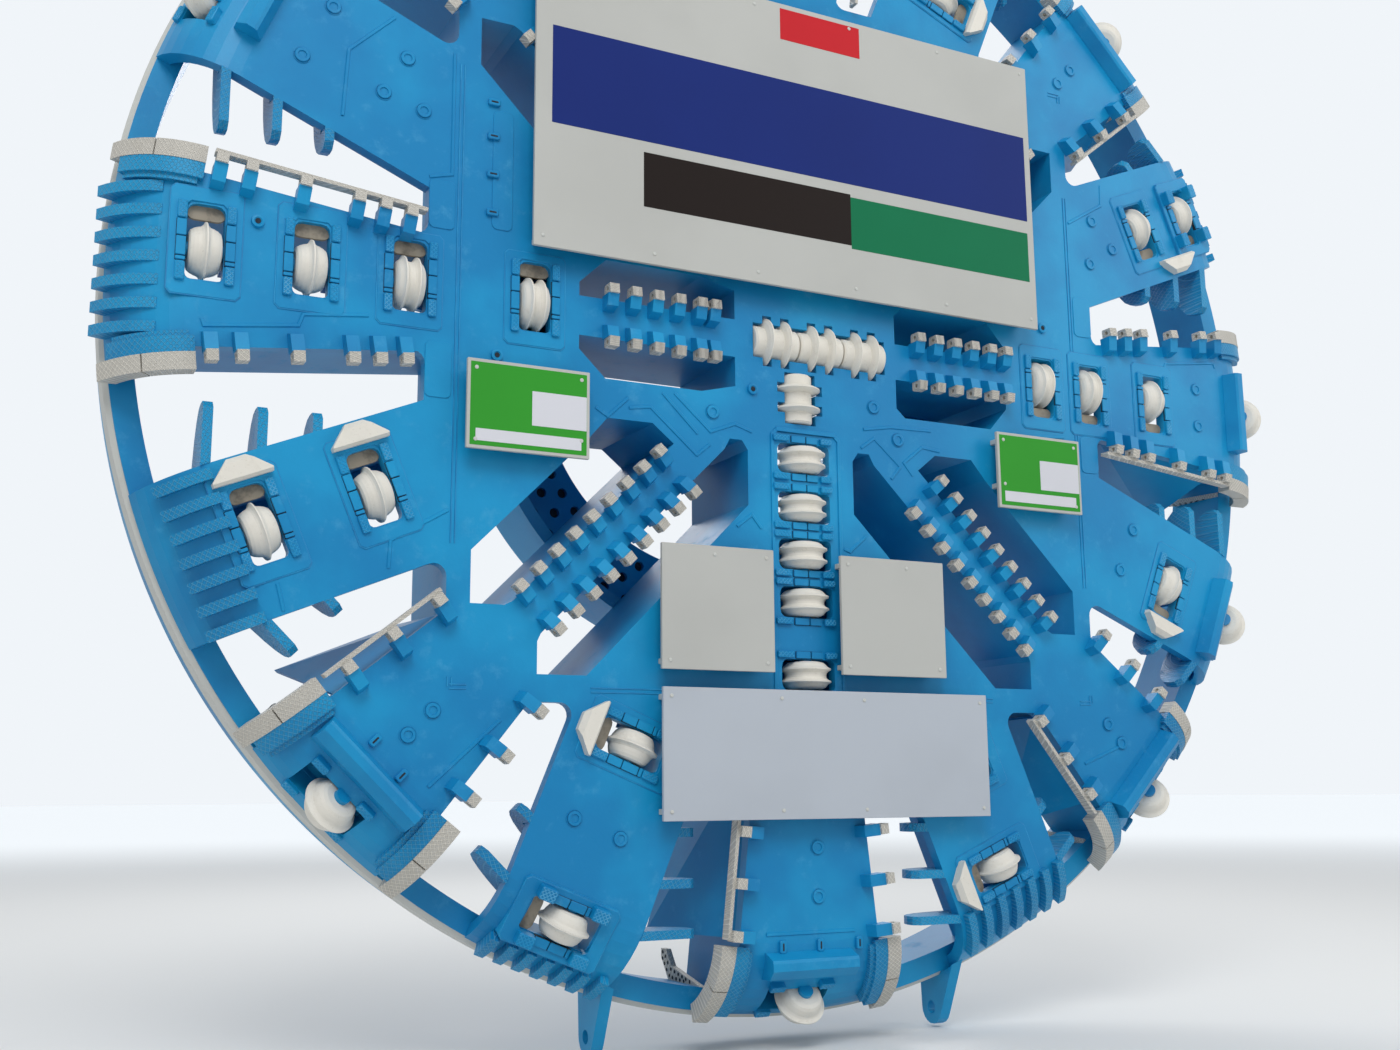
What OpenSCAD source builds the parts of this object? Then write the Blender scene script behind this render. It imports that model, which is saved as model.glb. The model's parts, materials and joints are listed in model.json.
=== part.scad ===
// Cutterhead of a hard rock tunnel boring machine, all lengths in mm.
// Origin: centre of the rear drive flange. The face looks towards -Y, +Z is up.

/* [Head] */
// Radius over the wear band of the rim
head_r = 5600; // [5200:10:6000]
// Depth from the face plate to the rear drive flange
head_depth = 1750; // [1500:10:2200]
// Radius of the rounded gauge zone between face and rim
gauge_arc_r = 620; // [400:10:800]
// Thickness of the face plate
face_t = 100; // [60:5:160]
// Depth of the spoke boxes behind the face
box_depth = 1050; // [800:10:1300]
// Thickness of the spoke side walls
wall_t = 60; // [30:5:100]

/* [Spokes] */
// Half width of a main spoke at the root
main_half = 480; // [380:5:560]
// Half width of a diagonal spoke at the root
diag_half = 470; // [420:5:620]
// Spread of the main and diagonal spokes towards the rim, per metre of radius
spoke_flare = 110; // [0:5:160]
// Half width of the bars across the centre block
bar_half = 165; // [130:5:190]
// Edge of an intermediate spoke on the side of the main spoke
mid_near = 480; // [400:5:560]
// Edge of an intermediate spoke on the side of the diagonal spoke
mid_far = 700; // [600:5:780]

/* [Cutters] */
// Radius of the disc cutter rings, 17 inch
ring_r = 216; // [180:1:240]
// Height of the rings over the face plate
ring_out = 130; // [80:5:160]
// Half width of the cutter hubs
hub_half = 116; // [90:1:130]
// Half width of the cutter slots
slot_half = 131; // [105:1:150]

/* [Scrapers and lips] */
// Width of a scraper tip along the edge
tip_w = 84; // [60:2:120]
// Thickness of the scraper tips
tip_t = 80; // [50:2:110]
// Radius of the hole through a scraper tip
tip_hole_r = 21; // [10:1:28]
// Width of the bucket lips
lip_w = 130; // [80:5:160]
// Thickness of the strips along the tips and of the chute plates
strip_t = 30; // [20:2:40]

/* [Flange] */
// Pitch circle radius of the inner row of flange holes
bolt_r1 = 1900; // [1850:10:1950]
// Distance between the rows of flange holes
bolt_pitch = 170; // [130:5:200]
// Radius of the flange holes
bolt_hole_r = 45; // [30:1:55]
// Number of holes in each row
bolt_count = 60; // [24:4:60]

/* [Hidden] */
body_blue = [0.10, 0.43, 0.70];
tool_white = [0.80, 0.78, 0.73];
band_grey = [0.70, 0.70, 0.68];

flat_r = head_r - gauge_arc_r;
body_r = head_r - 40;
ring_in_r = head_r - 220;
ring_front = 430;
ring_back = 1080;
lug_x = 1650;
lug_t = 100;
lug_depth = 620;
lug_z = head_r + 60;
lug_root = head_r - 620;
lug_bore_r = 55;
hub_in_r = bolt_r1 - 150;
hub_wall_r = bolt_r1 + 2 * bolt_pitch + 210;
hub_out_r = hub_wall_r + 110;
flange_t = 120;
edge_turn = atan(spoke_flare / 1000);
core_x = 3060;
core_z = 3000;
mid_root = 3100;
main_root = 3310;
cut_depth = ring_r - ring_out;
shaft_r = 60;
bore_r = shaft_r + 0.3;

row_off = 15;
// Cutters: angle of the spoke, radius, sideways offset, tilt of the gauge, kind
// kind 1 is a single disc, 2 a twin disc, 3 a centre twin with a long hub
CUT = [
  [0, -230, row_off, 0, 3], [0, 215, row_off, 0, 3], [0, 660, row_off, 0, 3],
  [270, 462, 0, 0, 3], [90, 780, 0, 0, 3],
  [270, 990, 40, 0, 2], [270, 1410, 40, 0, 2], [270, 1815, 40, 0, 2],
  [270, 2220, 45, 0, 2], [270, 2830, 50, 0, 2],
  [90, 1205, 0, 0, 2], [90, 1610, 0, 0, 2], [90, 2015, 0, 0, 2],
  [90, 2420, 0, 0, 2], [90, 2830, 0, 0, 2],
  [180, 2430, -45, 0, 2], [180, 3440, -65, 0, 2], [180, 4186, -75, 0, 1], [180, 4940, -80, 0, 1],
  [0, 2670, 0, 0, 2], [0, 3250, 0, 0, 2], [0, 4060, 0, 0, 1], [0, 5450, 0, 50, 1],
  [270, 5450, 0, 50, 1], [90, 5450, 0, 50, 1],
  [225, 5450, 0, 50, 1], [315, 5450, 0, 50, 1], [45, 5450, 0, 50, 1], [135, 5450, 0, 50, 1],
  [202.5, 3980, 80, 0, 1], [202.5, 4860, 80, 0, 1],
  [157.5, 5450, -80, 50, 1], [337.5, 4516, -120, 0, 1],
  [337.5, 5450, -80, 50, 1],
  [247.5, 3765, -120, 0, 1], [247.5, 5190, -120, 16, 1],
  [292.5, 3960, 120, 0, 1], [292.5, 4840, 120, 0, 1],
  [22.5, 4400, 120, 0, 1], [22.5, 5040, 120, 6, 1],
  [67.5, 4080, -120, 0, 1], [67.5, 5040, -120, 6, 1],
  [112.5, 3765, 120, 0, 1], [112.5, 5190, 120, 16, 1]
];

function main_edge(u) = main_half + (u - 3400) * spoke_flare / 1000;
function diag_edge(u) = diag_half + (u - 3900) * spoke_flare / 1000;
function mid_side(a) = ((a + 360) % 90) < 45 ? 1 : -1;
// arc of the gauge zone: points [radius, depth] from the flat to a depth limit
function gauge_pts(off, y_end, n) = [for (i = [0 : n])
  let (r = gauge_arc_r - off, a1 = acos((gauge_arc_r - y_end) / r), t = a1 * i / n)
  [flat_r + r * sin(t), gauge_arc_r - r * cos(t)]];
function rev(p) = [for (i = [len(p) - 1 : -1 : 0]) p[i]];

module slab(y0, y1) translate([0, y1, 0]) rotate([90, 0, 0]) linear_extrude(height = y1 - y0) children();
module turned() rotate([-90, 0, 0]) rotate_extrude($fn = 360) children();
module at_face() translate([0, -head_depth, 0]) children();
module spoke(a) rotate([0, -a, 0]) children();

module gauge_skin() turned()
  polygon(concat([[1, 0]], gauge_pts(0, ring_front, 8), rev(gauge_pts(face_t, ring_front, 8)), [[1, face_t]]));
module gauge_body() turned()
  polygon(concat([[1, 0]], gauge_pts(0, ring_front, 8),
                 [[ring_in_r, ring_front], [ring_in_r, box_depth], [1, box_depth]]));

// plan of one spoke of each kind, radius along +X
module main_plan(in = 0) polygon([[3000, -main_edge(3000) + in], [head_r, -main_edge(head_r) + in],
  [head_r, main_edge(head_r) - in], [3000, main_edge(3000) - in]]);
module diag_plan(in = 0) polygon([[3700, -diag_edge(3700) + in], [head_r, -diag_edge(head_r) + in],
  [head_r, diag_edge(head_r) - in], [3700, diag_edge(3700) - in]]);
module mid_plan(s, in = 0) polygon([[3100, s * (in - mid_near)], [head_r, s * (in - mid_near)],
  [head_r, s * (mid_far - in)], [3100, s * (mid_far - in)]]);

module spokes_plan(in = 0) {
  for (a = [0 : 90 : 270]) rotate(a) main_plan(in);
  for (a = [45 : 90 : 315]) rotate(a) diag_plan(in);
  for (a = [22.5 : 45 : 337.5]) rotate(a) mid_plan(mid_side(a), in);
}
// rounded corners between the root and the main spokes
module root_fillets(r = 90) for (a = [0 : 90 : 270], m = [0, 1]) rotate(a) mirror([0, m])
  translate([main_root, main_edge(main_root)]) polygon(concat([[-5, -5], [-5, r]], arc(r, r, r, 180, 270, 4), [[r, -5]]));
// rounded corner at p between edges that leave it at the angles a1 and a2
module fillet(p, a1, a2, r) {
  m = (a1 + a2) / 2;
  c = p + r / sin((a2 - a1) / 2) * [cos(m), sin(m)];
  polygon(concat([p - 4 * [cos(m), sin(m)]], arc(c[0], c[1], r, a1 - 90, a2 - 270, 6)));
}
// corners of the openings beside the diagonal spokes, on the side of the root
far_u = (mid_root + mid_far * sin(22.5)) / cos(22.5);
diag_u = (mid_root * sqrt(2) - diag_half + 3900 * spoke_flare / 1000) / (1 + spoke_flare / 1000);
module diag_fillets() for (mx = [0, 1], mz = [0, 1], m = [0, 1])
  mirror([mx, 0]) mirror([0, mz]) mirror([m, -m]) {
    fillet([mid_root, far_u * sin(22.5) + mid_far * cos(22.5)], 22.5, 90, 95);
    fillet([mid_root, (diag_u - diag_edge(diag_u)) / sqrt(2)], -90, 45 - edge_turn, 150);
  }
module root_plan() {
  root_fillets();
  diag_fillets();
  square([2 * mid_root, 2 * mid_root], center = true);
  square([2 * main_root, 2000], center = true);
  square([2000, 2 * main_root], center = true);
}

// muck openings in the centre block
bar_d = bar_half * sqrt(2);
DIAG_UPPER = [[1800, 823], [1400, 823], [1210, 1210 - bar_d], [2570, 2570 - bar_d], [2640, 2374],
  [2913, 2374], [2913, 1970], [1950, 1000]];
DIAG_LOWER = [[740, 740 + bar_d], [690, 880], [575, 880], [520, 960], [520, 1430], [1967, 2890],
  [2374, 2890], [2374, 2640], [2345, 2345 + bar_d]];
ROW_LEFT = [[-2050, -bar_half], [-2050, -280], [-1820, -500], [-950, -500], [-630, -420], [-630, -bar_half]];
ROW_RIGHT = [[1000, -bar_half], [1000, -430], [1090, -510], [2040, -510], [2230, -300], [2230, -bar_half]];
// the same outline moved outwards by d
function area2(p) = [for (i = 0, a = 0; i <= len(p); a = a + (i < len(p) ? cross(p[i], p[(i + 1) % len(p)]) : 0),
  i = i + 1) a][len(p)];
function unit(v) = v / norm(v);
function grow(p, d) = let (n = len(p), s = sign(area2(p))) [for (i = [0 : n - 1])
  let (u1 = unit(p[i] - p[(i + n - 1) % n]), u2 = unit(p[(i + 1) % n] - p[i]),
       n1 = s * [u1[1], -u1[0]], n2 = s * [u2[1], -u2[0]])
  p[i] + d * (n1 + n2) / (1 + n1 * n2)];
module inner_holes(d = 0) {
  for (mx = [0, 1], mz = [0, 1]) mirror([mx, 0]) mirror([0, mz]) {
    polygon(grow(DIAG_UPPER, d));
    polygon(grow(DIAG_LOWER, d));
  }
  for (mz = [0, 1]) mirror([0, mz]) {
    polygon(grow(ROW_LEFT, d));
    polygon(grow(ROW_RIGHT, d));
  }
}

// slots for the disc cutters in the face
slot_low = 330;
// centre cutters: half length and radius of the long hub, discs to each side of its middle
long_hub = 215;
long_gap = 88;
hub_r = 143;
slot_high = 238;
function arc(cx, cy, r, a0, a1, n) = [for (i = [0 : n]) let (t = a0 + (a1 - a0) * i / n)
  [cx + r * cos(t), cy + r * sin(t)]];
// slot outline, half width h, from v0 to v1, corner radii r0 and r1
function slot_outline(h, v0, v1, r0, r1) = concat(arc(-h + r0, v0 + r0, r0, 180, 270, 3),
  arc(h - r0, v0 + r0, r0, 270, 360, 3), arc(h - r1, v1 - r1, r1, 0, 90, 3), arc(-h + r1, v1 - r1, r1, 90, 180, 3));
module slot_plan(c) rotate(c[0]) translate([c[1], c[2]])
  if (c[4] == 3) {
    square([2 * (long_hub + 10), 2 * (hub_r + 9)], center = true);
    for (sx = [-1, 1]) translate([sx * long_gap, 0]) square([2 * 43, 2 * (ring_r + 7)], center = true);
  }
  else polygon(slot_outline(slot_half, c[0] % 180 == 90 ? -ring_r - 58 : -slot_low, slot_high, 62, 40));
module face_slots() for (c = CUT) if (c[3] == 0) slot_plan(c);
module at_cutter(c) spoke(c[0]) translate([c[1], c[3] > 0 ? gauge_depth(c) : cut_depth, c[2]])
  rotate([0, 0, c[3]]) children();
module gauge_slots() for (c = CUT) if (c[3] > 0) at_cutter(c)
  translate([-slot_half, -400, -slot_low]) cube([2 * slot_half, 400 + (c[3] > 40 ? 250 : 1200), slot_low + slot_high]);
module gauge_housings() for (c = CUT) if (c[3] > 0) at_cutter(c)
  translate([-slot_half - 70, -200, -slot_low - 60]) cube([2 * slot_half + 140, 200 + 280, slot_low + slot_high + 112]);
// fixed shafts that carry the cutters, and their seats behind the face
module shafts() for (c = CUT) if (c[4] != 3) at_cutter(c)
  rotate([0, 90, 0]) cylinder(r = shaft_r, h = 2 * slot_half + 40, center = true, $fn = 64);
module saddles() for (c = CUT) if (c[3] == 0 && c[4] != 3) spoke(c[0])
  for (sx = [-1, 1]) translate([c[1] + sx * (slot_half + 35) - 35, face_t - 10, c[2] - 110])
    cube([70, 180, 220]);
module centre_shafts() {
  translate([-476, cut_depth, row_off]) rotate([0, 90, 0]) cylinder(r = shaft_r, h = 1382, $fn = 64);
  translate([0, cut_depth, -708]) cylinder(r = shaft_r, h = 494, $fn = 64);
  translate([0, cut_depth, 529]) cylinder(r = shaft_r, h = 502, $fn = 64);
}
function gauge_depth(c) = c[3] >= 40 ? 200 : (c[3] > 10 ? 112 : 96);

module core_clip() square([2 * core_x, 2 * core_z], center = true);
module left_clip() polygon([[-core_x, -2200], [-core_x, 2200], [-6000, 3900], [-6000, -3900]]);
module bottom_clip() polygon([[-core_x, -2200], [-6000, -3900], [-6000, -6000], [6000, -6000],
  [6000, -3900], [core_x, -2200], [core_x, -core_z], [-core_x, -core_z]]);

module face_plan() difference() {
  union() {
    root_plan();
    spokes_plan();
  }
  inner_holes();
  face_slots();
}

// side walls of the spoke boxes
module walls_plan() {
  for (a = [0 : 90 : 270]) rotate(a) difference() {
    main_plan(90);
    main_plan(90 + wall_t);
  }
  for (a = [45 : 90 : 315]) rotate(a) difference() {
    diag_plan(90);
    diag_plan(90 + wall_t);
  }
}
// walls of the intermediate spokes, set in from the edges of their plates
mid_in = 245;
mid_depth = 600;
module mid_ring(wide) for (a = [22.5 : 45 : 337.5]) rotate(a) difference() {
  mid_plan(mid_side(a), mid_in);
  mid_plan(mid_side(a), mid_in + wide);
}
// back flanges of the spoke boxes, open in the middle
module back_plan(in = 0) {
  for (a = [0 : 90 : 270]) rotate(a) main_plan(90 + in);
  for (a = [45 : 90 : 315]) rotate(a) diag_plan(90 + in);
}
module mid_sides(wide) difference() {
  intersection() {
    children();
    mid_ring(wide);
  }
  core_clip();
}
module segment() at_face() difference() {
  union() {
    intersection() {
      slab(0, ring_front) intersection() {
        children();
        face_plan();
      }
      gauge_skin();
    }
    intersection() {
      slab(face_t, box_depth) intersection() {
        children();
        difference() {
          walls_plan();
          core_clip();
        }
      }
      gauge_body();
    }
    intersection() {
      union() {
        slab(face_t, mid_depth) mid_sides(wall_t) children();
        slab(mid_depth - wall_t, mid_depth) mid_sides(170) children();
      }
      gauge_body();
    }
    slab(box_depth - wall_t, box_depth) intersection() {
      children();
      difference() {
        back_plan();
        core_clip();
        back_plan(160);
      }
      circle(r = ring_in_r, $fn = 360);
    }
    intersection() {
      gauge_body();
      slab(0, box_depth) children();
      gauge_housings();
    }
  }
  gauge_slots();
}
module carried(seats = true) at_face() intersection() {
  slab(-100, box_depth) children();
  union() {
    shafts();
    if (seats) saddles();
  }
}

module centre_block() color(body_blue) {
  at_face() {
    slab(0, face_t) intersection() {
      face_plan();
      core_clip();
    }
    slab(face_t, box_depth) difference() {
      core_clip();
      square([2 * (core_x - wall_t), 2 * (core_z - wall_t)], center = true);
      face_slots();
    }
    slab(face_t, box_depth) difference() {
      intersection() {
        inner_holes(50);
        core_clip();
      }
      inner_holes();
      face_slots();
    }
    slab(box_depth - wall_t, box_depth) difference() {
      core_clip();
      inner_holes();
      circle(r = hub_in_r - 450, $fn = 360);
    }
    centre_shafts();
  }
  carried() core_clip();
}
module outer_left() color(body_blue) {
  segment() left_clip();
  carried() left_clip();
}
module outer_right() color(body_blue) {
  segment() mirror([1, 0]) left_clip();
  carried() mirror([1, 0]) left_clip();
}
module outer_bottom() color(body_blue) {
  segment() bottom_clip();
  carried() bottom_clip();
}
module outer_top() color(body_blue) {
  segment() mirror([0, 1]) bottom_clip();
  carried() mirror([0, 1]) bottom_clip();
}

module rim_ring() color(body_blue) at_face() turned()
  polygon([[ring_in_r, ring_front], [body_r, ring_front], [body_r, ring_back], [ring_in_r, ring_back]]);
module wear_band() color(band_grey) at_face() difference() {
  turned() polygon([[body_r, ring_front + 20], [head_r, ring_front + 50], [head_r, ring_front + 260],
    [body_r, ring_front + 290]]);
  for (sx = [-1, 1], sz = [-1, 1]) translate([sx * lug_x - lug_t / 2 - 6, ring_front - 30, sz * (head_r - 300) - 300])
    cube([lug_t + 12, 450, 600]);
}

module drive_hub() color(body_blue) difference() {
  turned() polygon([[hub_wall_r, box_depth - head_depth], [hub_out_r, box_depth - head_depth], [hub_out_r, 0],
    [hub_in_r, 0], [hub_in_r, -flange_t], [hub_wall_r, -flange_t]]);
  for (k = [0 : 2], i = [0 : bolt_count - 1]) rotate([0, (i + k / 2) * 360 / bolt_count, 0])
    translate([bolt_r1 + k * bolt_pitch, 20, 0]) rotate([90, 0, 0]) cylinder(r = bolt_hole_r, h = flange_t + 80, $fn = 32);
}

// scraper seats: position [x, z] on an edge, angle of the outward normal, overhang
function spoke_edge_seats(a, us, h, u0) = [for (u = us, s = [-1, 1])
  let (v = s * (h + (u - u0) * spoke_flare / 1000))
  [u * cos(a) - v * sin(a), u * sin(a) + v * cos(a), a + s * (90 + edge_turn), 55]];
function bar_seats(a, us) = [for (u = us, s = [-1, 1])
  [u * cos(a) - s * bar_half * sin(a), u * sin(a) + s * bar_half * cos(a), a + s * 90, 18]];
function inward(d) = [for (x = d) flat_r - x];
SEATS = concat(
  [for (a = [0, 180]) each spoke_edge_seats(a, inward([1500, 1300, 1100, 700, 310, 100]), main_half, 3400)],
  [for (a = [90, 270]) each spoke_edge_seats(a, inward([1280, 880, 480, 80]), main_half, 3400)],
  [for (a = [45 : 90 : 315]) each spoke_edge_seats(a, inward([1040, 620, 220]), diag_half, 3900)],
  [for (a = [45 : 90 : 315]) each bar_seats(a, [for (i = [0 : 8]) 1745 + i * 205])],
  bar_seats(180, [870, 1000, 1200, 1400, 1600, 1800]),
  bar_seats(0, [1200, 1400, 1600, 1800, 2000, 2180])
);
module at_seat(s) translate([s[0], 0, s[1]]) rotate([0, -s[2], 0]) children();
module scraper_blocks() color(body_blue) at_face() for (s = SEATS) at_seat(s) translate([0, 0, -tip_w / 2 - 6])
  linear_extrude(height = tip_w + 12) polygon([[-110, 0], [-80, -105], [s[3], -130], [s[3], 0]]);
module scraper_tips() color(tool_white) at_face() for (s = SEATS) at_seat(s) translate([s[3], 0, -tip_w / 2])
  linear_extrude(height = tip_w) difference() {
    polygon([[0, -152], [tip_t, -140], [tip_t, -42], [tip_t - 12, -30], [0, -30]]);
    translate([tip_t / 2, -88]) circle(r = tip_hole_r, $fn = 24);
  }

// curved lips of the buckets at the rim
LIPS = concat([for (a = [0 : 90 : 270], s = [-1, 1]) [a, s, main_edge(flat_r)]],
              [for (a = [45 : 90 : 315], s = [-1, 1]) [a, s, diag_edge(flat_r)]]);
module lip_band(r0, r1, t0, t1) difference() {
  intersection() {
    circle(r = r1, $fn = 256);
    polygon([[0, 0], [2 * r1 * sin(t0), -2 * r1 * cos(t0)], [2 * r1 * sin((t0 + t1) / 2), -2 * r1 * cos((t0 + t1) / 2)],
      [2 * r1 * sin(t1), -2 * r1 * cos(t1)]]);
  }
  circle(r = r0, $fn = 256);
}
// strip along the edge of a spoke over the gauge zone, from v0 to v1 outside the edge
module edge_strip(l, v0, v1, r0, r1, t0, t1) at_edge(l, flat_r) translate([0, gauge_arc_r, l[1] > 0 ? v0 : -v1])
  linear_extrude(height = v1 - v0) lip_band(r0, r1, t0, t1);
// frame on the edge of a spoke at radius u, +Z along the way out of the edge for side 1
module at_edge(l, u) spoke(l[0]) translate([u, 0, l[1] * (l[2] + (u - flat_r) * spoke_flare / 1000)])
  rotate([0, -l[1] * edge_turn, 0]) children();
cheek_v = 50;
// the leading side of each main and diagonal spoke, and where its strip starts
LEADING = [for (l = LIPS) if (l[1] < 0) l];
function strip_start(l) = (l[0] % 90) < 1 ? 3360 : 3880;
module bucket_lips() color(tool_white) at_face() {
  for (l = LIPS) {
    edge_strip(l, cheek_v + 0.3, cheek_v + lip_w, gauge_arc_r - 90, gauge_arc_r + 55, 0, 31);
    edge_strip(l, cheek_v + 0.3, cheek_v + lip_w, gauge_arc_r - 90, gauge_arc_r + 55, 32, 66);
  }
  // standing strips along the ends of the tips
  for (l = LEADING) at_edge(l, strip_start(l)) translate([0, -105, -tip_t - 55.3 - strip_t])
    cube([flat_r - 40 - strip_start(l), 95, strip_t]);
  // bolted plates inside the ring
  for (l = LEADING) difference() {
    spoke(l[0]) translate([0, 0, -l[2] - 130]) linear_extrude(height = 45)
      polygon([[5440, 440], [5320, 440], [5210, 960], [5080, 1060], [5080, 1160], [5150, 1160], [5330, 1020]]);
    difference() {
      slab(-10, 1300) circle(r = 2 * head_r, $fn = 360);
      slab(-20, 1310) circle(r = ring_in_r - 0.3, $fn = 360);
    }
  }
}
// plates that guide the rock from the leading edges to the back
module bucket_chutes() color(body_blue) at_face() for (l = LEADING) chute(l, strip_start(l) + 80, flat_r - 60);
module chute(l, u0, u1) spoke(l[0]) {
  e0 = -l[2] - (u0 - flat_r) * spoke_flare / 1000;
  e1 = -l[2] - (u1 - flat_r) * spoke_flare / 1000;
  wide = 330;
  polyhedron(points = [
    [u0, face_t, e0], [u1, face_t, e1], [u1, box_depth, e1 - wide], [u0, box_depth, e0 - 40],
    [u0, face_t, e0 + strip_t], [u1, face_t, e1 + strip_t], [u1, box_depth, e1 - wide + strip_t],
    [u0, box_depth, e0 - 40 + strip_t]],
    faces = [[0, 1, 2], [0, 2, 3], [4, 6, 5], [4, 7, 6], [0, 4, 5, 1], [1, 5, 6, 2], [2, 6, 7, 3], [3, 7, 4, 0]]);
}

WEDGES = [[202.5, 3970, -360], [202.5, 4860, -360], [247.5, 3765, -535], [292.5, 4840, -345],
  [337.5, 4520, -561], [22.5, 4720, -345], [67.5, 4080, -535], [112.5, 3765, -360], [292.5, 3960, -360]];
module deflector_wedges() color(tool_white) at_face() for (w = WEDGES) spoke(w[0]) translate([w[1], 0, w[2]])
  intersection() {
    slab(-90, 0) polygon([[-220, 70], [-220, 40], [-70, -100], [70, -100], [220, 40], [220, 70]]);
    translate([-230, 0, 0]) rotate([0, 90, 0]) linear_extrude(height = 460)
      polygon([[101, 1], [101, -50], [60, -90], [-50, -90], [-71, -60], [-71, 1]]);
  }

bar_u = flat_r + 60;
// guard bars over the start of the gauge zone: angle, shift along the radius, ends
GUARDS = [[225, 0, -470, 472], [315, 0, -470, 472], [45, 0, -470, 472], [135, 0, -470, 472],
  [0, 0, -420, 380], [90, 0, -420, 380], [270, 0, -420, 380], [157.5, -90, -600, 150], [337.5, -20, -600, 200]];
module guard_bars() color(body_blue) at_face() difference() {
  for (g = GUARDS) spoke(g[0]) translate([bar_u + g[1], 0, g[2]]) linear_extrude(height = g[3] - g[2])
    polygon([[0, 120], [0, 0], [50, -118], [75, -128], [135, -130], [205, -65], [210, 160]]);
  gauge_body();
}
// rib over the gauge zone that grows from nothing at t0 to full height at t1
module grown_rib(t0, t1, full) translate([flat_r, gauge_arc_r, 0]) linear_extrude(height = 80)
  polygon(concat([for (i = [0 : 6]) let (t = t0 + (t1 - t0) * i / 6, r = gauge_arc_r + full * i / 6)
    [r * sin(t), -r * cos(t)]], [for (i = [6 : -1 : 0]) let (t = t0 + (t1 - t0) * i / 6, r = gauge_arc_r - 40)
    [r * sin(t), -r * cos(t)]]));
module even_rib(w, r1, t0, t1) translate([flat_r, gauge_arc_r, -w / 2]) linear_extrude(height = w)
  lip_band(gauge_arc_r - 60, r1, t0, t1);
module wear_ribs() color(body_blue) at_face() {
  difference() {
    union() {
      for (i = [0 : 6]) spoke(180) translate([0, 0, -565 + i * 175]) grown_rib(25, 70, 95);
      for (a = [202.5, 292.5], i = [0 : 6]) spoke(a)
        translate([0, 0, (mid_side(a) > 0 ? -400 : -670) + i * 178]) even_rib(80, gauge_arc_r + 60, 6, 43);
      for (a = [22.5, 67.5, 112.5, 247.5], i = [0 : 6]) spoke(a)
        translate([0, 0, (mid_side(a) > 0 ? -388 : -560) + i * 158]) even_rib(75, gauge_arc_r + 60, 47, 70);
      for (l = LIPS) {
        edge_strip(l, -70, cheek_v, gauge_arc_r - 60, gauge_arc_r + 50, 0, 56);
        edge_strip(l, -112, -60, gauge_arc_r - 62, gauge_arc_r + 26, 3, 53);
      }
    }
    gauge_body();
  }
  for (l = LIPS) edge_strip(l, 0.3, cheek_v - 2, gauge_arc_r - 61, gauge_arc_r + 30, 0.5, 55);
  difference() {
    union() {
      for (a = [0 : 90 : 270], s = [0, 1], u = [4090, 4480, 4860]) spoke(a) mirror([0, 0, s])
        fin(u, 1030, 0.4142 * u - 200);
      for (a = [45 : 90 : 315], s = [0, 1], u = [4500, 4930]) spoke(a) mirror([0, 0, s])
        fin(u, 980, 0.4142 * u - 430);
    }
    slab(-1, face_t + 65) for (a = [22.5 : 45 : 337.5]) rotate(a) mid_plan(mid_side(a));
    slab(face_t, box_depth) for (a = [22.5 : 45 : 337.5]) rotate(a) mid_plan(mid_side(a), mid_in);
    gauge_housings();
  }
}
// lobed fin on the wall of an intermediate spoke: place along the neighbouring spoke, tip, base
module fin(u, v0, v1) translate([u - 35, 0, 0]) rotate([90, 0, 90]) linear_extrude(height = 70)
  polygon(concat([[0, v1], [0, v0 + 50], [50, v0], [130, v0]],
    [for (t = [15 : 15 : 90]) [130 + 320 * sin(t), v0 + (v1 - v0) * (1 - cos(t))]]));

// lugs for lifting and standing the head, outline in depth and height
module lug_outline() polygon(concat([[170, lug_root], [800, lug_root]],
  arc(lug_depth, lug_z, 140, 0, 160, 8)));
module lifting_lugs() color(body_blue) at_face() for (sx = [-1, 1], mz = [0, 1])
  mirror([0, 0, mz]) difference() {
    translate([sx * lug_x - lug_t / 2, 0, 0]) rotate([90, 0, 90]) linear_extrude(height = lug_t) lug_outline();
    gauge_body();
    turned() polygon([[0.1, ring_front], [body_r, ring_front], [body_r, 1200], [0.1, 1200]]);
    translate([sx * lug_x - lug_t, lug_depth, lug_z]) rotate([0, 90, 0])
      cylinder(r = lug_bore_r, h = 2 * lug_t, $fn = 48);
  }

// disc cutters, axis along +X; a ring's crest as [way from its middle, height under the tip]
function crest(x, base) = concat([for (p = [[34, base], [20, 26], [11, 12], [6, 0]]) [ring_r - p[1], x - p[0]]],
  [for (p = [[6, 0], [11, 12], [20, 26], [34, base]]) [ring_r - p[1], x + p[0]]]);
module turned_hub(p) rotate([0, 90, 0]) rotate_extrude($fn = 64) polygon(p);
module cutter_shape(kind) {
  if (kind == 1) turned_hub(concat([[bore_r, -hub_half], [118, -hub_half], [146, -hub_half + 10], [162, -84], [174, -56]],
    crest(0, 36), [[174, 56], [162, 84], [146, hub_half - 10], [118, hub_half], [bore_r, hub_half]]));
  if (kind == 2) turned_hub(concat([[bore_r, -hub_half], [118, -hub_half], [150, -hub_half + 8], [168, -97]],
    crest(-52, 38), [[176, 0]], crest(52, 38), [[168, 97], [150, hub_half - 8], [118, hub_half], [bore_r, hub_half]]));
  if (kind == 3) turned_hub(concat([[bore_r, -long_hub], [128, -long_hub], [hub_r, -long_hub + 15]],
    crest(-long_gap, ring_r - hub_r), crest(long_gap, ring_r - hub_r),
    [[hub_r, long_hub - 15], [128, long_hub], [bore_r, long_hub]]));
}
module cutter_at(i) at_face() at_cutter(CUT[i]) cutter_shape(CUT[i][4]);

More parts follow.
